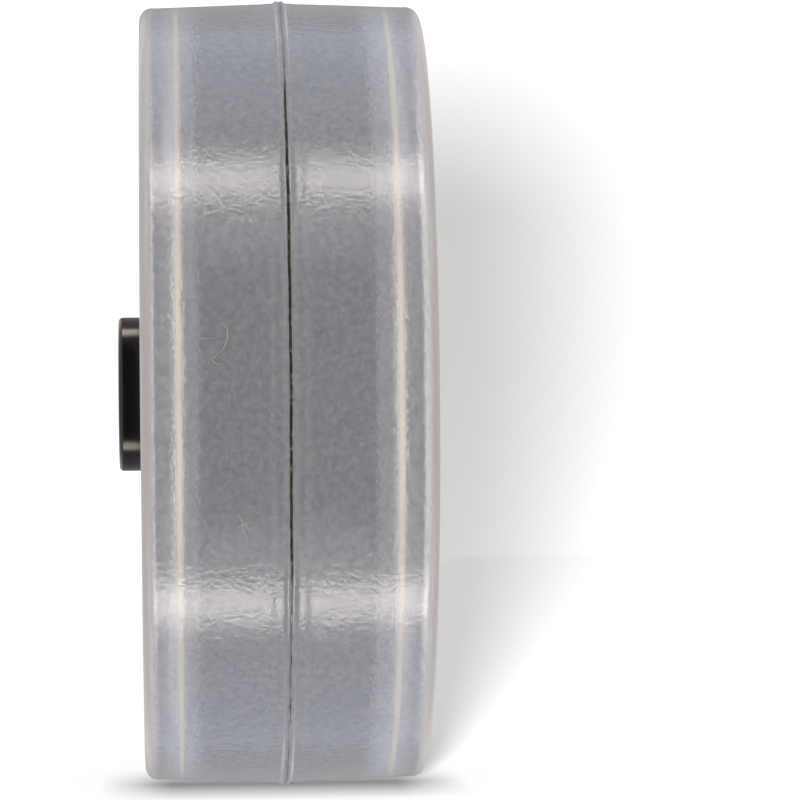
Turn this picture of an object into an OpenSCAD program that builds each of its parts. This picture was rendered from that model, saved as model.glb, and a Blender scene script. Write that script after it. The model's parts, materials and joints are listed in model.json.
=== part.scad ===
// Chair caster wheel: a translucent tyre moulded over a spoked nylon core, turning on two shielded ball
// bearings. A spacer sleeve parts the bearings, and a flanged bush each side fills their bores and
// stands proud of the tyre, so that the fork clamps the bushes and never touches the tyre.
// The axle lies along Y, and the origin is the wheel's centre.

/* [Tyre] */
// Diameter of the tread, across the middle of the wheel
tread_d = 76; // [62:1:92]
// Width of the tyre, over its two sides
tyre_w = 27; // [24:0.5:34]
// Fall of the tread from the middle to each side, in degrees
tread_draft = 2; // [1:0.5:4]
// Radius of the edge between tread and side
tyre_edge_r = 1.2; // [0.6:0.1:2]
// Radial thickness of the tyre over the core's drum
tyre_t = 12.6; // [9:0.1:14]
// Radial width of the raised rib around each side
rib_w = 3.2; // [2:0.1:5]
// Step from the rib down to the dished part of the side
rib_step = 1.3; // [0.6:0.1:1.8]
// Fall of the dished part, from the rib in to the core
side_dish = 1.8; // [1:0.1:2.6]
// Width of the tyre's bore that stands past the edge of the core
overhang = 0.9; // [0.5:0.1:1.4]
// Width of the flash line around the middle of the tread
flash_w = 1.1; // [0.8:0.1:1.6]
// Height of the flash line
flash_h = 0.2; // [0.1:0.05:0.4]

/* [Core] */
// Height of the drum over the core's tapered lips
drum_step = 1.8; // [1:0.1:2.4]
// Width of each tapered lip
lip_w = 1.4; // [1:0.1:2]
// Fall of each lip to the edge of the core
lip_fall = 1.2; // [0.6:0.1:1.6]
// Wall of the rim at its edge
rim_t = 1.5; // [1.2:0.1:2.5]
// Number of spokes
spoke_count = 6; // [5:1:8]
// Thickness of a spoke, around the wheel
spoke_t = 4; // [3:0.5:5]
// Width of a spoke, along the axle
spoke_w = 13; // [10:0.5:16]
// Wall of the hub around a bearing
hub_t = 2.5; // [2:0.1:3.5]
// Ledge that a bearing seats against
seat_ledge = 1.5; // [1:0.1:2]

/* [Bearings] */
// Bore of a bearing
bearing_bore_d = 8; // [7:0.5:9]
// Outside diameter of a bearing
bearing_d = 22; // [20:0.5:27]
// Width of a bearing
bearing_w = 7; // [6.8:0.1:9]
// Diameter of a ball
ball_d = 3.95; // [3.2:0.05:4.6]
// Number of balls in a bearing
ball_count = 7; // [6:1:8]
// Radial gap between a ball and its groove
ball_gap = 0.015; // [0.01:0.005:0.03]
// Thickness of a shield
shield_t = 0.3; // [0.2:0.05:0.4]
// Thickness of the cage strip
cage_t = 0.3; // [0.2:0.05:0.35]
// Width of the cage strip, across the wheel's radius
cage_band = 1.6; // [1.2:0.1:1.8]
// Diameter of a cage rivet
rivet_d = 0.6; // [0.4:0.1:0.8]

/* [Bushes and spacer] */
// Bore for the axle
axle_bore_d = 6.2; // [5:0.1:7.4]
// Diameter of a bush flange
flange_d = 15; // [12.5:0.5:18]
// Height of the left flange's face over the side of the tyre
left_proud = 2.3; // [1:0.1:4]
// Height of the right flange's face over the side of the tyre
right_proud = 1.5; // [0.5:0.1:4]
// Gap between a flange and the turning parts
flange_gap = 0.5; // [0.3:0.1:0.8]
// Radius of the flange's edges
flange_edge_r = 0.35; // [0.2:0.05:0.5]
// Chamfer at the mouth of the axle bore
mouth_chamfer = 0.5; // [0.2:0.1:0.8]
// Length of a bush shank inside its bearing and the spacer
shank_l = 9; // [7.5:0.5:11]
// Length of the spacer, between the bearings
spacer_l = 10; // [8:0.5:13]

/* [Fits] */
// Radial gap between a shank and the bore of its bearing
shank_gap = 0.01; // [0.005:0.005:0.03]
// Radial gap between a shank and the bore of the spacer
spacer_gap = 0.06; // [0.03:0.01:0.12]
// Gap between a ball and its cage pocket
pocket_gap = 0.075; // [0.05:0.005:0.12]
// Gap between a shield and the inner ring
shield_gap = 0.3; // [0.15:0.05:0.5]

/* [Hidden] */
SIDES = ["left", "right"];
$fn = 96;

tyre_grey = [0.66, 0.67, 0.70, 0.55];
core_black = [0.10, 0.10, 0.11];
bush_black = [0.06, 0.06, 0.06];
steel = [0.72, 0.73, 0.75];
shield_steel = [0.60, 0.61, 0.63];
cage_steel = [0.55, 0.52, 0.46];
ball_steel = [0.85, 0.86, 0.88];
aluminium = [0.78, 0.78, 0.77];

// Half widths and radii of the tyre and the core. Every y here is a distance from the wheel's middle.
tread_r = tread_d / 2;
side_y = tyre_w / 2;
dish_y = side_y - rib_step;
bore_y = dish_y - side_dish;
rim_y = bore_y - overhang;
drum_y = rim_y - lip_w;
drum_r = tread_r - tyre_t;
lip_r = drum_r - drum_step;
rim_r = lip_r - lip_fall;
rim_bore_r = rim_r - rim_t;
rim_chamfer = 0.5;
spoke_in_r = bearing_d / 2 + hub_t / 2;
spoke_out_r = rim_bore_r + rim_t / 2;
// The edge rounding touches the sloping tread and the flat side.
edge_y = side_y - tyre_edge_r;
edge_r = tread_r - edge_y * tan(tread_draft) - tyre_edge_r / cos(tread_draft);
// The rib ends in a steep step, at this angle to the side's face.
step_angle = 65;
rib_r = edge_r - rib_w;
dish_r = rib_r - rib_step / tan(step_angle);
bore_chamfer = 0.2;

// The bearings sit between the hub's ledge and its end.
hub_y = spacer_l / 2 + bearing_w;
hub_r = bearing_d / 2 + hub_t;
hub_chamfer = 0.6;
ledge_y = spacer_l / 2;
bearing_y = spacer_l / 2 + bearing_w / 2;
seat_r = bearing_d / 2;
ledge_r = seat_r - seat_ledge;

// Rings, measured from the bearing's own middle
pitch_r = (bearing_bore_d + bearing_d) / 4;
ball_r = ball_d / 2;
race_r = ball_r * 1.038;
race_shift = race_r - ball_r - ball_gap;
race_depth = 0.54;
inner_land_r = pitch_r - ball_r - ball_gap + race_depth;
outer_land_r = pitch_r + ball_r + ball_gap - race_depth - 0.1;
ring_chamfer = 0.3;
// The shield snaps into a groove a little inside the ring's face.
shield_set = 0.35;
shield_y1 = bearing_w / 2 - shield_set;
shield_y0 = shield_y1 - shield_t;
groove_r = outer_land_r + 0.9;
snap_r = groove_r - 0.3;
shield_bore_r = inner_land_r + shield_gap;

// Cage
pocket_r = ball_r + pocket_gap;
bulge_r = pocket_r + cage_t;
cage_in_r = pitch_r - cage_band / 2;
cage_out_r = pitch_r + cage_band / 2;
rivet_head_d = rivet_d * 1.6;
rivet_head_t = 0.2;

// Bush and spacer
face_y = [for (proud = [left_proud, right_proud]) side_y + proud];
flange_y = hub_y + flange_gap;
shank_r = bearing_bore_d / 2 - shank_gap;
shoulder_r = inner_land_r - 0.5;
spacer_bore_r = shank_r + spacer_gap;
spacer_chamfer = 0.3;

// Points of an arc of radius r around the centre c
function arc(c, r, from, to, steps) =
    [for (i = [0 : steps]) c + r * [cos(from + (to - from) * i / steps), sin(from + (to - from) * i / steps)]];

// A closed outline from its half on the positive side of the middle
function both_halves(half) =
    concat(half, [for (i = [len(half) - 1 : -1 : 0]) [half[i][0], -half[i][1]]]);

// Turn an outline drawn as [radius, distance along the axle] about the axle.
module turned() rotate([-90, 0, 0]) rotate_extrude() children();

// Children at equal turns about the axle
module around(count, start = 0)
    for (i = [0 : count - 1]) rotate([0, start + 360 * i / count, 0]) children();

// The right-hand side as drawn, and the left-hand side as its mirror image
module on_side(side)
    if (side == "left") mirror([0, 1, 0]) children();
    else children();

module at_bearing(side) on_side(side) translate([0, bearing_y, 0]) children();

// The side of the tyre, from the edge rounding in to its bore: a flat rib, a step and a shallow dish
side_half = [
    [rib_r, side_y], [dish_r, dish_y],
    [rim_r + bore_chamfer, bore_y], [rim_r, bore_y - bore_chamfer], [rim_r, rim_y]];

module tyre()
    color(tyre_grey) turned() polygon(both_halves(concat(
        [[tread_r + flash_h, flash_w / 4], [tread_r - flash_w / 2 * tan(tread_draft), flash_w / 2]],
        arc([edge_r, edge_y], tyre_edge_r, tread_draft, 90, 6),
        side_half,
        [[lip_r, drum_y], [drum_r, drum_y]])));

module core()
    color(core_black) union() {
        turned() polygon(both_halves([
            [drum_r, drum_y], [lip_r, drum_y], [rim_r, rim_y],
            [rim_bore_r + rim_chamfer, rim_y], [rim_bore_r, rim_y - rim_chamfer]]));
        turned() polygon(both_halves([
            [hub_r, hub_y - hub_chamfer], [hub_r - hub_chamfer, hub_y], [seat_r, hub_y],
            [seat_r, ledge_y], [ledge_r, ledge_y]]));
        // A spoke starts in the hub's wall and ends in the rim's.
        around(spoke_count)
            translate([spoke_in_r, -spoke_w / 2, -spoke_t / 2])
                cube([spoke_out_r - spoke_in_r, spoke_w, spoke_t]);
    }

module spacer_sleeve()
    color(aluminium) turned() polygon(both_halves([
        [shoulder_r, ledge_y - spacer_chamfer], [shoulder_r - spacer_chamfer, ledge_y],
        [spacer_bore_r + spacer_chamfer, ledge_y], [spacer_bore_r, ledge_y - spacer_chamfer]]));

module bush(side, face_y)
    color(bush_black) on_side(side) turned() polygon(concat(
        arc([flange_d / 2 - flange_edge_r, flange_y + flange_edge_r], flange_edge_r, -90, 0, 4),
        arc([flange_d / 2 - flange_edge_r, face_y - flange_edge_r], flange_edge_r, 0, 90, 4),
        [[axle_bore_d / 2 + mouth_chamfer, face_y], [axle_bore_d / 2, face_y - mouth_chamfer],
         [axle_bore_d / 2, hub_y - shank_l], [shank_r - spacer_chamfer, hub_y - shank_l],
         [shank_r, hub_y - shank_l + spacer_chamfer], [shank_r, hub_y],
         [shoulder_r, hub_y], [shoulder_r, flange_y]]));

module outer_ring(side)
    color(steel) at_bearing(side) turned() difference() {
        polygon(both_halves([
            [outer_land_r, shield_y0], [groove_r, shield_y0], [groove_r, shield_y1], [snap_r, shield_y1],
            [snap_r, bearing_w / 2], [seat_r - ring_chamfer, bearing_w / 2],
            [seat_r, bearing_w / 2 - ring_chamfer]]));
        translate([pitch_r - race_shift, 0]) circle(race_r);
    }

module inner_ring(side)
    color(steel) at_bearing(side) turned() difference() {
        polygon(both_halves([
            [inner_land_r, bearing_w / 2 - ring_chamfer], [inner_land_r - ring_chamfer, bearing_w / 2],
            [bearing_bore_d / 2 + ring_chamfer, bearing_w / 2],
            [bearing_bore_d / 2, bearing_w / 2 - ring_chamfer]]));
        translate([pitch_r + race_shift, 0]) circle(race_r);
    }

// Outward is +1 for the face away from the wheel's middle, and -1 for the face towards it.
module facing(outward)
    if (outward < 0) mirror([0, 1, 0]) children();
    else children();

module shield(side, outward)
    color(shield_steel) at_bearing(side) facing(outward) turned()
        translate([shield_bore_r, shield_y0]) square([groove_r - shield_bore_r, shield_t]);

module at_rivets() around(ball_count, 180 / ball_count) translate([pitch_r, 0, 0]) rotate([-90, 0, 0]) children();

// A round bar or hole across the cage strip at each ball, past the strip's edges by the given length
module at_pockets(radius, past)
    around(ball_count) translate([cage_in_r - past, 0, 0]) rotate([0, 90, 0])
        cylinder(h = cage_band + 2 * past, r = radius);

module cage_half(side, outward)
    color(cage_steel) at_bearing(side) facing(outward) difference() {
        union() {
            turned() translate([cage_in_r, 0]) square([cage_band, cage_t]);
            at_pockets(bulge_r, 0);
        }
        at_pockets(pocket_r, 1);
        at_rivets() translate([0, 0, -1]) cylinder(h = cage_t + 2, d = rivet_d);
        // The other half's side
        turned() translate([0, -bulge_r - 1]) square([cage_out_r + 2, bulge_r + 1]);
    }

module cage_rivets(side)
    color(ball_steel) at_bearing(side) at_rivets() {
        translate([0, 0, -cage_t]) cylinder(h = 2 * cage_t, d = rivet_d);
        for (end = [0, 1]) mirror([0, 0, end])
            translate([0, 0, cage_t]) cylinder(h = rivet_head_t, d = rivet_head_d);
    }

module ball(side, i)
    color(ball_steel) at_bearing(side) rotate([0, 360 * (i - 1) / ball_count, 0])
        translate([pitch_r, 0, 0]) sphere(ball_r);

tyre();
core();
spacer_sleeve();
for (side = SIDES) {
    bush(side, face_y[side == "left" ? 0 : 1]);
    outer_ring(side);
    inner_ring(side);
    shield(side, -1);
    shield(side, 1);
    cage_half(side, -1);
    cage_half(side, 1);
    cage_rivets(side);
    for (i = [1 : ball_count])
        ball(side, i);
}
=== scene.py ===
"""Chair caster wheel: a translucent polyurethane tyre on a black spoked nylon core, turning on two shielded
ball bearings, with a flanged bush each side. The axle lies along Y and the origin is the wheel's centre.
Shapes are worked out in millimetres and put into meshes in metres."""

import json
import math

import bpy
import numpy as np
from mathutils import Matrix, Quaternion, Vector

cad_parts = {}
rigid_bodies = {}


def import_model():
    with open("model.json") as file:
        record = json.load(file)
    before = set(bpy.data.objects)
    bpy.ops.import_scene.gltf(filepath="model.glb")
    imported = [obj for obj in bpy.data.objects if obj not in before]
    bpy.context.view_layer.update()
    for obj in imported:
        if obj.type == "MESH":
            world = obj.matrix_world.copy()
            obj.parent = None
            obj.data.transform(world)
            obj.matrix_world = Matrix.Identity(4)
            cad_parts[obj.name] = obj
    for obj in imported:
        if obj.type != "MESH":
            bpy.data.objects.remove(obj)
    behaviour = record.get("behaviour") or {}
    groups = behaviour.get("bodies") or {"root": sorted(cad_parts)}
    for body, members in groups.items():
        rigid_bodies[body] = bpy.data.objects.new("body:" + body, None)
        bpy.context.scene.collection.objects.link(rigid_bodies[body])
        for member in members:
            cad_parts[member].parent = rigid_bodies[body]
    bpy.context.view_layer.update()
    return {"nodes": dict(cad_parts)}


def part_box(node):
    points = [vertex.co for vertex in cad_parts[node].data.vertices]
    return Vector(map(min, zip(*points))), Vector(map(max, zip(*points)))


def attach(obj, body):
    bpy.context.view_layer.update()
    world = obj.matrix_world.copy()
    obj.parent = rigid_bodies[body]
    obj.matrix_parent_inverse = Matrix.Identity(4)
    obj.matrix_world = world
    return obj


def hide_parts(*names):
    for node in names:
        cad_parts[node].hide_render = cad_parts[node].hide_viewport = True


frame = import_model()

MM = 0.001
SIDES = {"left": -1, "right": 1}
BALLS = 7

# ---------------------------------------------------------------- sizes, in mm, from the frame


def high(node_name):
    """The highest corner of a CAD node, in mm."""
    return [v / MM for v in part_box(node_name)[1]]


FLASH_H = 0.2
DRAFT = math.radians(2)
SIDE_Y = high("tyre")[1]
TREAD_R = high("tyre")[2] - FLASH_H
EDGE_R = 1.2
RIB_W = 3.2
RIB_STEP = 1.3
STEP_ANGLE = math.radians(65)
STEP_EASE = 0.41
SIDE_DISH = 1.8
OVERHANG = 0.9
LIP_W = 1.4
TYRE_T = 12.6
DRUM_STEP = 1.8
LIP_FALL = 1.2
RIM_T = 1.5
BOND_GAP = -0.1
NOTCH = 0.92

DISH_Y = SIDE_Y - RIB_STEP
BORE_Y = DISH_Y - SIDE_DISH
RIM_Y = BORE_Y - OVERHANG
DRUM_Y = RIM_Y - LIP_W
DRUM_R = TREAD_R - TYRE_T
LIP_R = DRUM_R - DRUM_STEP
RIM_R = LIP_R - LIP_FALL
RIM_BORE_R = RIM_R - RIM_T
EDGE_Y = SIDE_Y - EDGE_R
EDGE_CENTRE_R = TREAD_R - EDGE_Y * math.tan(DRAFT) - EDGE_R / math.cos(DRAFT)
RIB_R = EDGE_CENTRE_R - RIB_W
DISH_R = RIB_R - RIB_STEP / math.tan(STEP_ANGLE)

HUB_Y = high("core")[1]
SEAT_R = high("left_outer_ring")[2]
HUB_R = SEAT_R + 2.5
LEDGE_R = SEAT_R - 1.5
BEARING_W = 7.0
LEDGE_Y = HUB_Y - BEARING_W
SPOKES = 6
SPOKE_T = 4.0
SPOKE_W = 13.0

FACE_Y = {"left": -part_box("left_bush")[0][1] / MM, "right": high("right_bush")[1]}
FLANGE_R = high("right_bush")[2]
FLANGE_Y = HUB_Y + 0.5
BORE_R = 3.1
SHANK_R = 3.99
SHANK_END_Y = HUB_Y - 9.0
SHOULDER_R = high("spacer_sleeve")[2]

# ---------------------------------------------------------------- mesh making


def arc(centre, radius, start, end, steps):
    """Points of an arc: centre plus radius times the cosine and sine of an angle that runs from start to end,
    in degrees."""
    angle = np.radians(np.linspace(start, end, steps + 1))
    return np.column_stack([centre[0] + radius * np.cos(angle), centre[1] + radius * np.sin(angle)])


def rounded(points, radii, steps=5):
    """An outline whose corners are rounded: each corner is swapped for the arc of the given radius that
    touches both its edges. points is a closed outline, radii has one radius a corner, and 0 keeps it
    sharp."""
    points = np.asarray(points, float)
    out = []
    neighbours = zip(np.roll(points, 1, 0), points, np.roll(points, -1, 0), radii)
    for before, corner, after, radius in neighbours:
        a = (before - corner) / np.linalg.norm(before - corner)
        b = (after - corner) / np.linalg.norm(after - corner)
        half = math.acos(np.clip(a @ b, -1, 1)) / 2
        if radius <= 0:
            out.append(corner[None])
            continue
        middle = corner + (a + b) / np.linalg.norm(a + b) * radius / math.sin(half)
        first = corner + a * radius / math.tan(half) - middle
        last = corner + b * radius / math.tan(half) - middle
        t = np.linspace(0, 1, steps + 1)[:, None]
        turn = math.acos(np.clip(first @ last / radius**2, -1, 1))
        out.append(middle + (np.sin((1 - t) * turn) * first + np.sin(t * turn) * last) / math.sin(turn))
    return np.vstack(out)


def loop_noise(angle, seed, waves, spread=1.0):
    """Seeded noise that closes round a circle: a sum of sines with whole numbers of waves and random phases,
    scaled so that it mostly stays within plus and minus spread."""
    rng = np.random.default_rng(seed)
    phase = rng.uniform(0, 2 * np.pi, len(waves))
    size = rng.uniform(0.5, 1.0, len(waves))
    total = sum(s * np.sin(w * angle + p) for w, p, s in zip(waves, phase, size))
    return spread * total / np.sqrt(len(waves))


def quads(rows, cols, wrap_rows=True, wrap_cols=True):
    """The quads of a grid whose vertices run along each row in turn, closed along either way."""
    i = np.arange(rows if wrap_rows else rows - 1)[:, None]
    j = np.arange(cols if wrap_cols else cols - 1)[None, :]
    i2, j2 = (i + 1) % rows, (j + 1) % cols
    return np.stack([i * cols + j, i2 * cols + j, i2 * cols + j2, i * cols + j2], -1).reshape(-1, 4)


def outward(verts, faces):
    """The faces turned so that a closed surface's normals point out, judged by the sign of its volume."""
    a, b, c, d = (verts[faces[:, k]] for k in range(4))
    volume = np.einsum("ij,ij->", a, np.cross(b, c)) + np.einsum("ij,ij->", a, np.cross(c, d))
    return faces if volume > 0 else faces[:, ::-1]


def joined(shells):
    """Several closed shells, each a pair of vertices and quads, as one."""
    verts, faces, count = [], [], 0
    for v, f in shells:
        verts.append(v)
        faces.append(outward(v, f) + count)
        count += len(v)
    return np.vstack(verts), np.vstack(faces)


def piece(name, shells, body, material, replaces=(), sharp=40):
    """A finished piece from closed shells in mm: its object sits at the origin, rides on a body, takes the
    given material and stands for the CAD nodes in replaces. Edges over sharp degrees stay crisp."""
    verts, faces = joined(shells)
    mesh = bpy.data.meshes.new(name)
    mesh.vertices.add(len(verts))
    mesh.vertices.foreach_set("co", (verts * MM).astype(np.float32).ravel())
    mesh.loops.add(faces.size)
    mesh.loops.foreach_set("vertex_index", faces.astype(np.int32).ravel())
    mesh.polygons.add(len(faces))
    mesh.polygons.foreach_set("loop_start", np.arange(0, faces.size, 4, dtype=np.int32))
    mesh.update(calc_edges=True)
    mesh.polygons.foreach_set("use_smooth", np.ones(len(faces), bool))
    mesh.set_sharp_from_angle(angle=math.radians(sharp))
    mesh.materials.append(material)
    obj = bpy.data.objects.new(name, mesh)
    bpy.context.scene.collection.objects.link(obj)
    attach(obj, body)
    if replaces:
        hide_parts(*replaces)
    return obj


def turned(outline, steps, shift=None):
    """A closed shell turned about the axle: each outline point [radius, y] sweeps a full circle. shift gives
    what to add to the radius and to y at every outline point and angle."""
    angle = np.linspace(0, 2 * np.pi, steps, endpoint=False)[None, :]
    radius = np.repeat(outline[:, :1], steps, 1)
    y = np.repeat(outline[:, 1:], steps, 1)
    if shift is not None:
        add_r, add_y = shift(outline, angle)
        radius, y = radius + add_r, y + add_y
    verts = np.stack([radius * np.cos(angle), y, radius * np.sin(angle)], -1).reshape(-1, 3)
    return verts, quads(len(outline), steps)


def turn_about_axle(verts, degrees):
    """Vertices turned about the Y axis by an angle."""
    c, s = math.cos(math.radians(degrees)), math.sin(math.radians(degrees))
    return verts @ np.array([[c, 0, -s], [0, 1, 0], [s, 0, c]]).T


# ---------------------------------------------------------------- material making


def srgb(code):
    """A linear colour from an sRGB hex value such as "c0ffee"."""
    v = np.array([int(code[k:k + 2], 16) for k in (0, 2, 4)]) / 255
    linear = np.where(v <= 0.04045, v / 12.92, ((v + 0.055) / 1.055) ** 2.4)
    return (*linear.tolist(), 1.0)


def add(tree, kind, inputs=None, stops=(), **settings):
    """Adds a node, sets its settings and a colour ramp's stops of (position, colour), then sets or links its
    inputs."""
    made = tree.nodes.new(kind)
    for key, value in settings.items():
        setattr(made, key, value)
    for _ in stops[2:]:
        made.color_ramp.elements.new(0.5)
    for k, (position, colour) in enumerate(stops):
        made.color_ramp.elements[k].position = position
        made.color_ramp.elements[k].color = colour
    for key, value in (inputs or {}).items():
        if isinstance(value, bpy.types.NodeSocket):
            tree.links.new(value, made.inputs[key])
        else:
            made.inputs[key].default_value = value
    return made


def new_material(name):
    """An empty node material, its tree and its Object coordinates."""
    material = bpy.data.materials.new(name)
    material.use_nodes = True
    tree = material.node_tree
    tree.nodes.clear()
    coords = add(tree, "ShaderNodeTexCoord").outputs["Object"]
    return material, tree, coords


def finish_material(material, tree, shader_inputs):
    """Puts a Principled shader with these inputs on the material's output."""
    shader = add(tree, "ShaderNodeBsdfPrincipled", shader_inputs)
    add(tree, "ShaderNodeOutputMaterial", {"Surface": shader.outputs[0]})
    return material


def wheel_places(tree, coords):
    """How far a place is from the axle and from the wheel's middle plane, in metres, as two sockets."""
    flat = add(tree, "ShaderNodeVectorMath", {0: coords, 1: (1, 0, 1)}, operation="MULTIPLY")
    radius = add(tree, "ShaderNodeVectorMath", {0: flat.outputs[0]}, operation="LENGTH")
    split = add(tree, "ShaderNodeSeparateXYZ", {"Vector": coords})
    aside = add(tree, "ShaderNodeMath", {0: split.outputs["Y"]}, operation="ABSOLUTE")
    return radius.outputs["Value"], aside.outputs[0]


# How clear each part of the tyre is, and between which places in mm its finish fades in
TREAD_CLEAR, SIDE_CLEAR, SCUFF_CLEAR, PAINTED_LIGHT_LINE_CLEAR = 0.73, 0.86, 0.36, 0.6
TREAD_FADE = EDGE_CENTRE_R - 0.5, EDGE_CENTRE_R + 0.3
BOND_FADE = RIM_R + 1.6, RIM_R + 1.0
SCUFF_FADE = EDGE_Y - 0.05, EDGE_Y + 0.45
# Where the painted light line runs, in mm from the middle plane, and over what distance it fades: a pale line
# that stands for the bright line of side light seen through the tyre
PAINTED_LIGHT_LINE_Y, PAINTED_LIGHT_LINE_FADE = 10.0, (0.37, 0.13)


def cast_polyurethane():
    """Cast polyurethane, straight from a satin mould: milky to look through, amber where it is bonded to the
    core, with a grain that breaks up its highlights, and scuffed edges. A pale line each side is painted
    light: it stands for the bright cream line of side light seen through the tyre near the rim's edge."""
    material, tree, coords = new_material("cast_polyurethane")
    radius, aside = wheel_places(tree, coords)
    fine = add(tree, "ShaderNodeTexNoise", {"Vector": coords, "Scale": 1 / (0.42 * MM), "Detail": 3.0,
                                            "Roughness": 0.55})
    along = add(tree, "ShaderNodeMapping", {"Vector": coords, "Scale": (1, 0.55, 1)})
    waves = add(tree, "ShaderNodeTexNoise", {"Vector": along.outputs[0], "Scale": 1 / (1.0 * MM)})
    height = add(tree, "ShaderNodeMath", {0: waves.outputs["Fac"], 1: 0.6, 2: fine.outputs["Fac"]},
                 operation="MULTIPLY_ADD")
    bump = add(tree, "ShaderNodeBump", {"Height": height.outputs[0], "Strength": 1.0, "Distance": 0.04 * MM})
    mottle = add(tree, "ShaderNodeTexNoise", {"Vector": coords, "Scale": 1 / (0.6 * MM), "Detail": 5.0,
                                              "Roughness": 0.75}).outputs["Fac"]
    bloom = add(tree, "ShaderNodeValToRGB", {"Fac": mottle},
                stops=[(0.34, srgb("c9d0dc")), (0.66, srgb("eef3fd"))]).outputs["Color"]
    body = add(tree, "ShaderNodeValToRGB", {"Fac": mottle},
               stops=[(0.3, srgb("e2e0dd")), (0.7, srgb("edebe8"))]).outputs["Color"]
    from_light_line = add(tree, "ShaderNodeMath", {0: aside, 1: PAINTED_LIGHT_LINE_Y * MM}, operation="SUBTRACT")
    off_light_line = add(tree, "ShaderNodeMath", {0: from_light_line.outputs[0]}, operation="ABSOLUTE").outputs[0]
    masks = []
    for place, (start, end) in [(radius, TREAD_FADE), (radius, BOND_FADE), (aside, SCUFF_FADE),
                                (off_light_line, PAINTED_LIGHT_LINE_FADE)]:
        fade = add(tree, "ShaderNodeMapRange", {"Value": place, "From Min": start * MM, "From Max": end * MM})
        masks.append(fade.outputs[0])
    tread, bond, edge, line = masks
    scuffed = add(tree, "ShaderNodeMath", {0: edge, 1: tread}, operation="MULTIPLY").outputs[0]
    # Painted light: a pale line on the tread each side, standing for the cream line of light seen through the
    # tyre
    painted_light_line = add(tree, "ShaderNodeMath", {0: line, 1: tread}, operation="MULTIPLY").outputs[0]
    colour, clear = body, SIDE_CLEAR
    for mask, there, clear_there in [
            (bond, srgb("eee3d6"), SIDE_CLEAR), (tread, bloom, TREAD_CLEAR),
            (scuffed, srgb("c4c3c6"), SCUFF_CLEAR), (painted_light_line, srgb("ebe6de"), PAINTED_LIGHT_LINE_CLEAR)]:
        colour = add(tree, "ShaderNodeMix", {"Factor": mask, 6: colour, 7: there},
                     data_type="RGBA").outputs[2]
        clear = add(tree, "ShaderNodeMix", {"Factor": mask, 2: clear, 3: clear_there}).outputs[0]
    return finish_material(material, tree, {
        "Base Color": colour, "Roughness": 0.2, "IOR": 1.5, "Transmission Weight": clear,
        "Normal": bump.outputs[0]})


def moulded_nylon():
    """Glass-filled nylon, injection moulded black: satin, with a faint cloudy bloom, and grey bonding
    primer on the lips of the rim."""
    material, tree, coords = new_material("moulded_nylon")
    radius, aside = wheel_places(tree, coords)
    cloud = add(tree, "ShaderNodeTexNoise", {"Vector": coords, "Scale": 1 / (3 * MM), "Detail": 3.0})
    grain = add(tree, "ShaderNodeTexNoise", {"Vector": coords, "Scale": 1 / (0.25 * MM)})
    bump = add(tree, "ShaderNodeBump", {"Height": grain.outputs["Fac"], "Strength": 0.3,
                                        "Distance": 0.01 * MM})
    black = add(tree, "ShaderNodeValToRGB", {"Fac": cloud.outputs["Fac"]},
                stops=[(0.3, srgb("18181a")), (0.75, srgb("212124"))])
    outer = add(tree, "ShaderNodeMapRange", {"Value": radius, "From Min": (RIM_R - 0.3) * MM,
                                             "From Max": RIM_R * MM})
    on_lip = add(tree, "ShaderNodeMapRange", {"Value": aside, "From Min": (DRUM_Y - 0.1) * MM,
                                              "From Max": (DRUM_Y + 0.1) * MM})
    primed = add(tree, "ShaderNodeMath", {0: outer.outputs[0], 1: on_lip.outputs[0]}, operation="MULTIPLY")
    colour = add(tree, "ShaderNodeMix", {"Factor": primed.outputs[0], 6: black.outputs["Color"],
                                         7: srgb("a4a4aa")}, data_type="RGBA")
    satin = add(tree, "ShaderNodeMapRange", {"Value": cloud.outputs["Fac"], "To Min": 0.22, "To Max": 0.34})
    return finish_material(material, tree, {
        "Base Color": colour.outputs[2], "Roughness": satin.outputs[0], "IOR": 1.53,
        "Normal": bump.outputs[0]})


def turned_acetal():
    """Black acetal bar, turned on a lathe: a deep gloss with fine rings round it and a few light scuffs."""
    material, tree, coords = new_material("turned_acetal")
    rings = add(tree, "ShaderNodeTexWave", {"Vector": coords, "Scale": 1 / (1.2 * MM), "Distortion": 0.4,
                                            "Detail": 2.0}, wave_type="BANDS", bands_direction="Y")
    slanted = add(tree, "ShaderNodeMapping", {"Vector": coords, "Scale": (1, 0.25, 1.6),
                                              "Rotation": (0.5, 0, 0)})
    scuff = add(tree, "ShaderNodeTexNoise", {"Vector": slanted.outputs[0], "Scale": 1 / (1.1 * MM),
                                             "Detail": 6.0, "Roughness": 0.7})
    bump = add(tree, "ShaderNodeBump", {"Height": rings.outputs["Fac"], "Strength": 0.25,
                                        "Distance": 0.004 * MM})
    colour = add(tree, "ShaderNodeValToRGB", {"Fac": scuff.outputs["Fac"]},
                 stops=[(0.63, srgb("060606")), (0.7, srgb("33312c"))])
    gloss = add(tree, "ShaderNodeMapRange", {"Value": scuff.outputs["Fac"], "To Min": 0.14, "To Max": 0.23})
    return finish_material(material, tree, {
        "Base Color": colour.outputs["Color"], "Roughness": gloss.outputs[0], "IOR": 1.48,
        "Normal": bump.outputs[0]})


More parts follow.
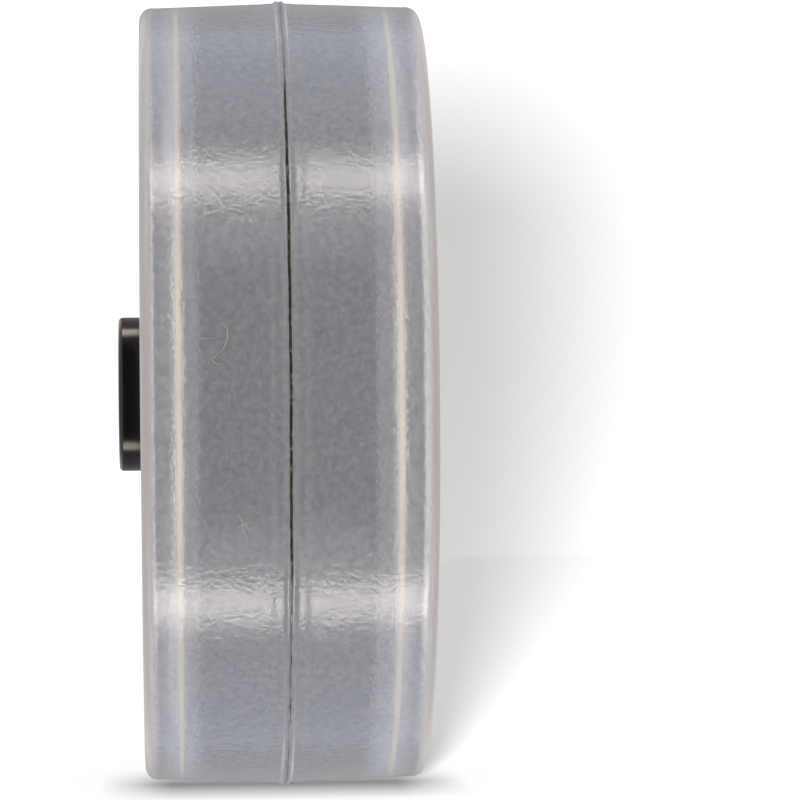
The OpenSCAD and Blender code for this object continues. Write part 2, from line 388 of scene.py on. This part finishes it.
def turned_aluminium():
    """Aluminium tube, parted off and turned: silvery, with tool rings along it."""
    material, tree, coords = new_material("turned_aluminium")
    rings = add(tree, "ShaderNodeTexWave", {"Vector": coords, "Scale": 1 / (0.8 * MM), "Distortion": 0.6,
                                            "Detail": 2.0}, wave_type="BANDS", bands_direction="Y")
    bump = add(tree, "ShaderNodeBump", {"Height": rings.outputs["Fac"], "Strength": 0.3,
                                        "Distance": 0.01 * MM})
    cloud = add(tree, "ShaderNodeTexNoise", {"Vector": coords, "Scale": 1 / (2 * MM), "Detail": 3.0})
    colour = add(tree, "ShaderNodeValToRGB", {"Fac": cloud.outputs["Fac"]},
                 stops=[(0.3, srgb("b9b9b6")), (0.7, srgb("c9c9c7"))])
    return finish_material(material, tree, {
        "Base Color": colour.outputs["Color"], "Metallic": 1.0, "Roughness": 0.3, "Normal": bump.outputs[0]})


def bearing_steel(name, light, dark, roughness, grain_mm):
    """Chrome steel with grinding marks: a fine streaky grain that shifts its brightness a little."""
    material, tree, coords = new_material(name)
    stretched = add(tree, "ShaderNodeMapping", {"Vector": coords, "Scale": (1, 6, 1)})
    streaks = add(tree, "ShaderNodeTexNoise", {"Vector": stretched.outputs[0], "Scale": 1 / (grain_mm * MM),
                                               "Detail": 4.0, "Roughness": 0.6}).outputs["Fac"]
    bump = add(tree, "ShaderNodeBump", {"Height": streaks, "Strength": 0.25, "Distance": 0.006 * MM})
    colour = add(tree, "ShaderNodeValToRGB", {"Fac": streaks}, stops=[(0.3, srgb(dark)), (0.7, srgb(light))])
    polish = add(tree, "ShaderNodeMapRange", {"Value": streaks, "To Min": roughness * 0.85,
                                              "To Max": roughness * 1.2})
    return finish_material(material, tree, {
        "Base Color": colour.outputs["Color"], "Metallic": 1.0, "Roughness": polish.outputs[0],
        "Normal": bump.outputs[0]})


def seam_grime():
    """Workshop grime pressed into the split of the flash line: matt, from olive brown to black."""
    material, tree, coords = new_material("seam_grime")
    specks = add(tree, "ShaderNodeTexNoise", {"Vector": coords, "Scale": 1 / (0.8 * MM), "Detail": 4.0,
                                              "Roughness": 0.65})
    colour = add(tree, "ShaderNodeValToRGB", {"Fac": specks.outputs["Fac"]},
                 stops=[(0.4, srgb("1d1d16")), (0.55, srgb("3b3a2c")), (0.66, srgb("77755f"))])
    return finish_material(material, tree, {"Base Color": colour.outputs["Color"], "Roughness": 0.85})


def lint():
    """Cotton fibre: matt and off-white, a little darker in places."""
    material, tree, coords = new_material("lint")
    tint = add(tree, "ShaderNodeTexNoise", {"Vector": coords, "Scale": 1 / (1.5 * MM)})
    colour = add(tree, "ShaderNodeValToRGB", {"Fac": tint.outputs["Fac"]},
                 stops=[(0.3, srgb("b9bab6")), (0.7, srgb("dcdcd8"))])
    return finish_material(material, tree, {"Base Color": colour.outputs["Color"], "Roughness": 0.7})


polyurethane = cast_polyurethane()
nylon = moulded_nylon()
acetal = turned_acetal()
aluminium = turned_aluminium()
ring_steel = bearing_steel("ground_ring_steel", "c4c5c8", "b8babd", 0.22, 0.8)
shield_steel = bearing_steel("pressed_shield_steel", "a9aaac", "a0a1a3", 0.34, 1.2)
cage_steel = bearing_steel("pressed_cage_steel", "9a958a", "857f73", 0.38, 0.8)
ball_steel = bearing_steel("polished_ball_steel", "d0d1d4", "c6c7ca", 0.1, 1.5)
grime = seam_grime()
fibre = lint()

# ---------------------------------------------------------------- tyre


def tread_outline():
    """Half of the tread, from the middle out to the start of the edge rounding: a split bead that stands on
    a narrow land, a small step down from the land, and the sloping tread."""
    slope = math.tan(DRAFT)
    crown = TREAD_R + FLASH_H
    return np.array([
        [crown - 0.24, 0.03], [crown - 0.22, 0.08], [crown - 0.05, 0.13], [crown, 0.19], [crown, 0.33],
        [crown - 0.05, 0.42], [TREAD_R + 0.02, 0.52], [TREAD_R - 0.02, 0.62],
        [TREAD_R - 0.04, 1.0], [TREAD_R - 0.05, 1.45], [TREAD_R - 0.1, 1.62],
        *[[TREAD_R - slope * y - 0.03, y] for y in np.linspace(2.2, EDGE_Y - 0.4, 12)],
    ])


def tyre_outline(bore_y):
    """Half of the tyre's section: the tread, the edge rounding, a flat rib, an eased step, the shallow dish
    down to the bore, a fine notch where the tyre's edge hooks over the rim, and the bore, sunk a hair's
    breadth into the core."""
    edge = arc((EDGE_CENTRE_R, EDGE_Y), EDGE_R, math.degrees(DRAFT), 90, 9)
    corners = [
        (TREAD_R - 2.5, SIDE_Y), (RIB_R + STEP_EASE, SIDE_Y), (DISH_R - STEP_EASE, DISH_Y),
        (RIM_R, bore_y), (RIM_R + NOTCH, bore_y - NOTCH), (RIM_R + BOND_GAP, RIM_Y - 0.03),
        (LIP_R + BOND_GAP, DRUM_Y + BOND_GAP), (DRUM_R + BOND_GAP, DRUM_Y + BOND_GAP),
        (DRUM_R + BOND_GAP, 0.5)]
    radii = [0, 0.15, 0.2, 0.04, 0.03, 0.02, 0.15, 0.25, 0]
    inner = rounded(corners, radii, 4)
    bore = [[DRUM_R + BOND_GAP, 4.0], [DRUM_R + BOND_GAP, 0.5]]
    return np.vstack([tread_outline(), edge, inner[1:-1], bore])


SPLIT_DEEP = 0.2
GRIME_MIDDLE, GRIME_REACH = math.radians(11), math.radians(36)
GRIME_SINK, GRIME_THICK = 0.13, 0.06


def in_patch(angle):
    """1 within GRIME_REACH of GRIME_MIDDLE round the wheel, falling smoothly to 0 beyond."""
    off = np.abs(np.mod(angle - GRIME_MIDDLE + np.pi, 2 * np.pi) - np.pi)
    return 1 / (1 + np.exp((off - GRIME_REACH) / 0.06))


def bead_wander(angle):
    """How far the bead strays along the axle at each angle, in mm."""
    return loop_noise(angle, 12, [2, 7, 13, 29, 47, 90], 0.03)


def seam_shift(outline, angle):
    """The bead wanders: its height and its place along the axle vary with the angle, most at the middle and
    not at all beyond the land. Its split is open only in the grimy patch, and the rest of the tread has a
    slow moulding ripple."""
    near = np.exp(-((outline[:, 1:] / 0.45) ** 2)) * (outline[:, :1] > TREAD_R - 1)
    split = np.exp(-((outline[:, 1:] / 0.1) ** 2)) * (outline[:, :1] > TREAD_R - 1)
    tread = (outline[:, :1] > TREAD_R - 1.2) * 1.0
    height = loop_noise(angle, 11, [3, 5, 9, 17, 31, 53, 84, 121], 0.035)
    ripple = loop_noise(angle, 13, [2, 3, 5, 8, 13], 0.012)
    closed = SPLIT_DEEP * split * (1 - in_patch(angle))
    return near * height + tread * ripple + closed, near * bead_wander(angle)


BORE_LIFT = 0.33
tyre_section = np.vstack([tyre_outline(BORE_Y + BORE_LIFT), tyre_outline(BORE_Y)[::-1] * [1, -1]])
tyre_skin = piece("tyre_skin", [turned(tyre_section, steps=560, shift=seam_shift)], "wheel",
                  polyurethane, replaces=["tyre"])


def grime_line(y, seed, width, amount):
    """Grime along one edge of the bead's split: a thin ring whose width comes and goes with the angle, and is
    widest along one patch of the tread."""
    angle = np.linspace(0, 2 * np.pi, 900, endpoint=False)[None, :]
    patchy = loop_noise(angle, seed, [1, 2, 5, 11, 23, 41, 77, 133, 201], 1.0)
    half = width / 2 * np.clip(amount * in_patch(angle) + 0.45 * patchy, 0.1, 1.2)
    around = np.radians(np.arange(0, 360, 60))[:, None]
    radius = TREAD_R + FLASH_H - GRIME_SINK + GRIME_THICK * np.cos(around) + 0 * angle
    side = y + bead_wander(angle) + half * np.sin(around)
    verts = np.stack([radius * np.cos(angle), side, radius * np.sin(angle)], -1).reshape(-1, 3)
    return verts, quads(len(around), angle.size)


grime_lines = [
    grime_line(y=-0.14, seed=21, width=0.14, amount=0.35),
    grime_line(y=0.04, seed=22, width=0.4, amount=0.85)]
piece("seam_grime", grime_lines, "wheel", grime)

FIBRE_R = 0.032


def tube(path, radius):
    """A closed tube along a smooth path on the tread: six points round each path point, the ends drawn in."""
    along = np.gradient(path, axis=0)
    along /= np.linalg.norm(along, axis=1)[:, None]
    askew = [0.37, 0.61, 0.7]
    up = np.cross(along, askew)
    up /= np.linalg.norm(up, axis=1)[:, None]
    across = np.cross(along, up)
    around = np.radians(np.arange(0, 360, 60))
    to_end = np.minimum(np.arange(len(path)), np.arange(len(path))[::-1])
    taper = np.minimum(1, to_end / 2 + 0.1)[:, None, None]
    ring = np.cos(around)[None, :, None] * up[:, None] + np.sin(around)[None, :, None] * across[:, None]
    verts = (path[:, None] + radius * taper * ring).reshape(-1, 3)
    faces = quads(len(path), 6, wrap_rows=False)
    caps = np.array([[0, 1, 2, 3], [0, 3, 4, 5]])
    return verts, np.vstack([faces, caps[:, ::-1], caps + 6 * (len(path) - 1)])


def on_tread(y, degrees):
    """Points just proud of the tread at axial places y and angles in degrees from +X towards +Z."""
    radius = TREAD_R - np.abs(y) * math.tan(DRAFT) + 0.02
    angle = np.radians(degrees)
    return np.column_stack([radius * np.cos(angle), y, radius * np.sin(angle)])


def lint_curl(points, steps=40):
    """A fibre through a few given points of (y, degrees), its corners smoothed by a running blend."""
    t = np.linspace(0, len(points) - 1, steps)
    y, degrees = (np.interp(t, np.arange(len(points)), [p[k] for p in points]) for k in (0, 1))
    for _ in range(4):
        y[1:-1] = (y[:-2] + 2 * y[1:-1] + y[2:]) / 4
        degrees[1:-1] = (degrees[:-2] + 2 * degrees[1:-1] + degrees[2:]) / 4
    return tube(on_tread(y, degrees), FIBRE_R)


piece("lint_fibres", [
    lint_curl([(-6.3, 9.7), (-5.7, 9.0), (-5.55, 8.1), (-5.9, 6.2), (-6.98, 4.7), (-6.9, 4.2),
               (-6.45, 3.9)]),
    lint_curl([(-8.06, 7.4), (-7.4, 7.5), (-6.72, 7.4)], 16),
    lint_curl([(-7.16, 1.4), (-6.8, 1.5), (-6.54, 1.85)], 12),
    lint_curl([(-4.95, -16.6), (-4.4, -17.6), (-3.7, -19.2)], 14),
    lint_curl([(-5.1, -18.8), (-4.4, -18.1), (-3.5, -17.8)], 14),
    lint_curl([(-4.6, -17.1), (-4.3, -18.9), (-3.95, -20.6)], 14),
    lint_curl([(4.05, 35.7), (4.12, 35.75), (4.19, 35.7)], 6),
], "wheel", fibre)

# ---------------------------------------------------------------- core


def rim_section():
    """The rim's section: the drum under the tyre, a tapered lip each side and a bore with rounded edges."""
    half = [(DRUM_R, DRUM_Y), (LIP_R, DRUM_Y), (RIM_R, RIM_Y), (RIM_BORE_R, RIM_Y)]
    full = half + [(r, -y) for r, y in half[::-1]]
    return rounded(full, [0.3, 0.15, 0.3, 0.6, 0.6, 0.3, 0.15, 0.3], 5)


def hub_section():
    """The hub's section: a barrel with rounded ends and a seat for a bearing each side of a ledge."""
    half = [(HUB_R, HUB_Y), (SEAT_R, HUB_Y), (SEAT_R, LEDGE_Y), (LEDGE_R, LEDGE_Y)]
    full = half + [(r, -y) for r, y in half[::-1]]
    return rounded(full, [0.7, 0.12, 0.1, 0.2, 0.2, 0.1, 0.12, 0.7], 5)


def spoke(degrees):
    """One spoke: a rounded bar along the radius. Its half thickness and half width follow the radius and
    flare in a quarter circle where it meets the hub and the rim, so that it runs into them smoothly."""
    start, end, fillet = SEAT_R + 1.3, RIM_BORE_R + 0.8, 1.6
    radius = np.linspace(start, end, 36)
    inward = np.clip(1 - (radius - HUB_R) / fillet, 0, 1)
    outward_end = np.clip(1 - (RIM_BORE_R - radius) / fillet, 0, 1)
    flare = fillet * (2 - np.sqrt(1 - inward**2 * 0.98) - np.sqrt(1 - outward_end**2 * 0.98))
    half_t = SPOKE_T / 2 + flare
    half_w = SPOKE_W / 2 + flare * 0.6
    section = rounded([(1, 1), (-1, 1), (-1, -1), (1, -1)], [0.22] * 4, 4)
    verts = np.stack([
        np.repeat(radius[:, None], len(section), 1),
        half_w[:, None] * section[:, 1],
        half_t[:, None] * section[:, 0]], -1).reshape(-1, 3)
    n = len(section)
    faces = quads(len(radius), n, wrap_rows=False)
    cap = np.array([[k, k + 1, n - 2 - k, n - 1 - k] for k in range(n // 2 - 1)])
    faces = np.vstack([faces, cap[:, ::-1], cap + n * (len(radius) - 1)])
    return turn_about_axle(verts, degrees), faces


spokes = [spoke(360 * k / SPOKES) for k in range(SPOKES)]
piece("spoked_core", [turned(rim_section(), steps=360), turned(hub_section(), steps=240)] + spokes,
      "wheel", nylon, replaces=["core"])

# ---------------------------------------------------------------- bushes and spacer


def bush_section(face_y):
    """A bush's section, drawn for the right side: a flange with rounded edges, a shoulder, a shank with a
    lead-in chamfer, and the axle bore with a chamfered mouth."""
    corners = [
        (FLANGE_R, FLANGE_Y), (FLANGE_R, face_y), (BORE_R + 0.5, face_y), (BORE_R, face_y - 0.5),
        (BORE_R, SHANK_END_Y), (SHANK_R - 0.3, SHANK_END_Y), (SHANK_R, SHANK_END_Y + 0.3),
        (SHANK_R, HUB_Y), (SHOULDER_R, HUB_Y), (SHOULDER_R, FLANGE_Y)]
    radii = [0.3, 0.45, 0.06, 0.06, 0.1, 0.05, 0.05, 0.05, 0.1, 0.1]
    return rounded(corners, radii, 7)


for side, sign in SIDES.items():
    bush = turned(bush_section(FACE_Y[side]) * [1, sign], steps=256)
    piece(f"{side}_flanged_bush", [bush], "axle_stack", acetal, replaces=[f"{side}_bush"])

finishes = {"spacer_sleeve": aluminium}
for side in SIDES:
    for part, steel in [("outer_ring", ring_steel), ("inner_ring", ring_steel),
                        ("inner_shield", shield_steel), ("outer_shield", shield_steel),
                        ("inner_cage_half", cage_steel), ("outer_cage_half", cage_steel),
                        ("cage_rivets", cage_steel)]:
        finishes[f"{side}_{part}"] = steel
    for i in range(1, BALLS + 1):
        finishes[f"{side}_ball_{i}"] = ball_steel
for node_name, metal in finishes.items():
    node_mesh = frame["nodes"][node_name].data
    node_mesh.materials.clear()
    node_mesh.materials.append(metal)

# ---------------------------------------------------------------- stage, lights and camera


def white_paper(name, start, end):
    """A flat sheet of white paper between two places (x, z). Only the camera sees it, so the strip below
    lights the wheel as if through a glass table. It glows a little, so that it is light grey in the wheel's
    shadow and white elsewhere, and a soft contact shadow is painted on it, darker where the wheel stands on
    it. Its collection, for lights that fall on it alone, comes back."""
    mesh = bpy.data.meshes.new(name)
    sides = [(start, -PAPER_SIDE), (start, PAPER_SIDE), (end, PAPER_SIDE), (end, -PAPER_SIDE)]
    mesh.from_pydata([(x, side, z) for (x, z), side in sides], [], [(0, 1, 2, 3)])
    material, tree, coords = new_material(name)
    # Painted shade: the paper's colour and glow are made darker round the place where the wheel stands, a
    # painted contact shadow
    size = add(tree, "ShaderNodeVectorMath", {0: coords}, operation="ABSOLUTE").outputs[0]
    away = add(tree, "ShaderNodeSeparateXYZ", {"Vector": size}).outputs
    masks = []
    for axis, (far, near) in PAINTED_SHADOW_FADE.items():
        mask = add(tree, "ShaderNodeMapRange", {"Value": away[axis], "From Min": far, "From Max": near})
        masks.append(mask.outputs[0])
    painted_shadow = add(tree, "ShaderNodeMath", {0: masks[0], 1: masks[1]}, operation="MULTIPLY")
    white = add(tree, "ShaderNodeMix", {"Factor": painted_shadow.outputs[0], 6: (1, 1, 1, 1), 7: PAINTED_CONTACT_SHADOW},
                data_type="RGBA").outputs[2]
    paper = add(tree, "ShaderNodeMix", {"Factor": PAPER, 6: (0, 0, 0, 1), 7: white},
                data_type="RGBA").outputs[2]
    diffuse = add(tree, "ShaderNodeBsdfDiffuse", {"Color": paper})
    glow = add(tree, "ShaderNodeEmission", {"Color": white, "Strength": SHADE_LEVEL})
    both = add(tree, "ShaderNodeAddShader", {0: diffuse.outputs[0], 1: glow.outputs[0]})
    add(tree, "ShaderNodeOutputMaterial", {"Surface": both.outputs[0]})
    mesh.materials.append(material)
    obj = bpy.data.objects.new(name, mesh)
    bpy.context.scene.collection.objects.link(obj)
    obj.visible_glossy = obj.visible_transmission = obj.visible_diffuse = obj.visible_shadow = False
    alone = bpy.data.collections.new(f"{name}_only")
    alone.objects.link(obj)
    return alone


def place_light(name, kind, place, aim, power, lit, colour="ffffff", **settings):
    """A light at place that faces aim and lights only the objects in the collection lit."""
    light = bpy.data.lights.new(name, kind)
    for key, value in settings.items():
        setattr(light, key, value)
    light.energy = power
    light.color = srgb(colour)[:3]
    obj = bpy.data.objects.new(name, light)
    obj.location = place
    obj.rotation_euler = (Vector(aim) - Vector(place)).to_track_quat("-Z", "Y").to_euler()
    obj.light_linking.receiver_collection = lit
    obj.visible_camera = False
    bpy.context.scene.collection.objects.link(obj)


def strip(name, degrees, width_degrees, radiance, lit, colour):
    """A soft strip along the axle, STRIP_AT away in the direction of an angle from +X towards +Z. Seen from
    the wheel's centre it is width_degrees wide, and its power gives the wanted radiance."""
    angle = math.radians(degrees)
    place = STRIP_AT * math.cos(angle), 0, STRIP_AT * math.sin(angle)
    width = 2 * STRIP_AT * math.tan(math.radians(width_degrees) / 2)
    power = radiance * math.pi * width * STRIP_LONG
    place_light(name, "AREA", place, (0, 0, 0), power, lit, colour, shape="RECTANGLE", size=STRIP_LONG,
                size_y=width)


def studio_world():
    """The room as the wheel sees it: bright behind and at the sides, dark around the camera. The camera
    itself sees plain white past the paper."""
    world = bpy.data.worlds.new("studio")
    world.use_nodes = True
    tree = world.node_tree
    tree.nodes.clear()
    path = add(tree, "ShaderNodeLightPath")
    direction = add(tree, "ShaderNodeTexCoord").outputs["Generated"]
    parts = add(tree, "ShaderNodeSeparateXYZ", {"Vector": direction}).outputs
    sideways = add(tree, "ShaderNodeMath", {0: parts["Y"]}, operation="ABSOLUTE").outputs[0]
    room = ROOM_FRONT
    for part, (start, end), there in [(parts["X"], BEHIND_FADE, ROOM_BEHIND),
                                      (sideways, ASIDE_FADE, ROOM_ASIDE)]:
        mask = add(tree, "ShaderNodeMapRange", {"Value": part, "From Min": start, "From Max": end}).outputs[0]
        room = add(tree, "ShaderNodeMix", {"Factor": mask, 6: room, 7: there}, data_type="RGBA").outputs[2]
    colour = add(tree, "ShaderNodeMix", {"Factor": path.outputs["Is Camera Ray"], 6: room,
                                         7: (1, 1, 1, 1)}, data_type="RGBA")
    background = add(tree, "ShaderNodeBackground", {"Color": colour.outputs[2]})
    add(tree, "ShaderNodeOutputWorld", {"Surface": background.outputs[0]})
    bpy.context.scene.world = world


def camera():
    """A long lens at the height of the axle, a little to the left of the wheel's middle plane. It aims past
    the wheel's right side and leans a little."""
    data = bpy.data.cameras.new("camera")
    data.sensor_width, data.lens = SENSOR_MM, LENS_MM
    obj = bpy.data.objects.new("camera", data)
    turn = (CAMERA_AIM - CAMERA_AT).to_track_quat("-Z", "Y") @ Quaternion((0, 0, 1), CAMERA_ROLL)
    obj.location = CAMERA_AT
    obj.rotation_euler = turn.to_euler()
    bpy.context.scene.collection.objects.link(obj)
    bpy.context.scene.camera = obj


SENSOR_MM, LENS_MM = 36.0, 204.0
CAMERA_FAR = 0.444
CAMERA_YAW = math.radians(1.35)
CAMERA_ROLL = math.radians(-0.5)
AIM_RIGHT, AIM_DOWN = 0.01166, 0.0008
CAMERA_AT = Vector((math.cos(CAMERA_YAW), -math.sin(CAMERA_YAW), 0)) * CAMERA_FAR
CAMERA_AIM = Vector((math.sin(CAMERA_YAW), math.cos(CAMERA_YAW), 0)) * AIM_RIGHT + Vector((0, 0, -AIM_DOWN))
WALL_AT, FLOOR_AT = -0.6, -(TREAD_R + FLASH_H) * MM
PAPER_SIDE, PAPER_TOP, PAPER_FRONT = 1.6, 1.6, 2.0
PAPER, SHADE_LEVEL = 0.1, 0.46
# The contact shadow painted on the paper under the wheel: its colour, and the distances in X and Y over which
# it fades out
PAINTED_CONTACT_SHADOW = (0.3, 0.3, 0.3, 1)
PAINTED_SHADOW_FADE = {"X": (18 * MM, 1 * MM), "Y": (18 * MM, 11 * MM)}
STRIP_AT, STRIP_LONG = 0.4, 0.2
WARM, COOL, AMBER = "fff6f0", "dbe4ff", "fff3df"
ROOM_FRONT, ROOM_BEHIND, ROOM_ASIDE = (0.05, 0.05, 0.055, 1), (0.3, 0.3, 0.3, 1), (1.02, 0.97, 0.92, 1)
BEHIND_FADE, ASIDE_FADE = (0.35, -0.1), (0.12, 0.35)

tyre_only = bpy.data.collections.new("tyre_only")
tyre_only.objects.link(tyre_skin)
hard_parts = bpy.data.collections.new("hard_parts")
for obj in bpy.context.scene.objects:
    if obj.type == "MESH" and obj != tyre_skin:
        hard_parts.objects.link(obj)
wall_only = white_paper("paper_wall", (WALL_AT, FLOOR_AT), (WALL_AT, PAPER_TOP))
floor_only = white_paper("paper_floor", (PAPER_FRONT, FLOOR_AT), (WALL_AT, FLOOR_AT))

for name, degrees, width_degrees, radiance, lit, colour in [
        ("tyre_strip_above", 61.5, 9.5, 12.8, tyre_only, WARM),
        ("tyre_strip_below", -60.6, 7.5, 17.0, tyre_only, WARM),
        ("tyre_glow_above", 105, 50, 0.8, tyre_only, COOL),
        ("tyre_glow_below", -100, 50, 0.8, tyre_only, COOL),
        ("strip_above", 106, 14, 6.0, hard_parts, AMBER),
        ("strip_below", -84, 14, 6.0, hard_parts, AMBER)]:
    strip(name, degrees, width_degrees, radiance, lit, colour)

# The paper's own lamps: a flash beside the lens, a faint one in the corner, a sun that skims the floor, and
# soft fill light from above
lens_lamp_at = CAMERA_AT + Vector((0, -0.026, 0.014))
corner = Vector((WALL_AT, 0.1, -0.05))
place_light("wall_lamp", "AREA", lens_lamp_at, aim=(WALL_AT, 0.05, 0), power=68.0, lit=wall_only,
            shape="DISK", size=0.045)
place_light("corner_lamp", "AREA", corner + Vector((0.05, 0, 0)), aim=corner, power=0.062, lit=wall_only,
            shape="DISK", size=0.02)
place_light("floor_lamp", "SUN", (1, -0.096, 0.065), aim=(0, 0, 0), power=205.0, lit=floor_only,
            angle=math.radians(3.4))
for name, power, paper in [("wall_fill", 5.0, wall_only), ("floor_fill", 3.4, floor_only)]:
    place_light(name, "SUN", (0.45, 0, 0.9), aim=(0, 0, 0), power=power, lit=paper, angle=math.radians(60))

studio_world()
camera()
bpy.context.scene.view_settings.view_transform = "Standard"
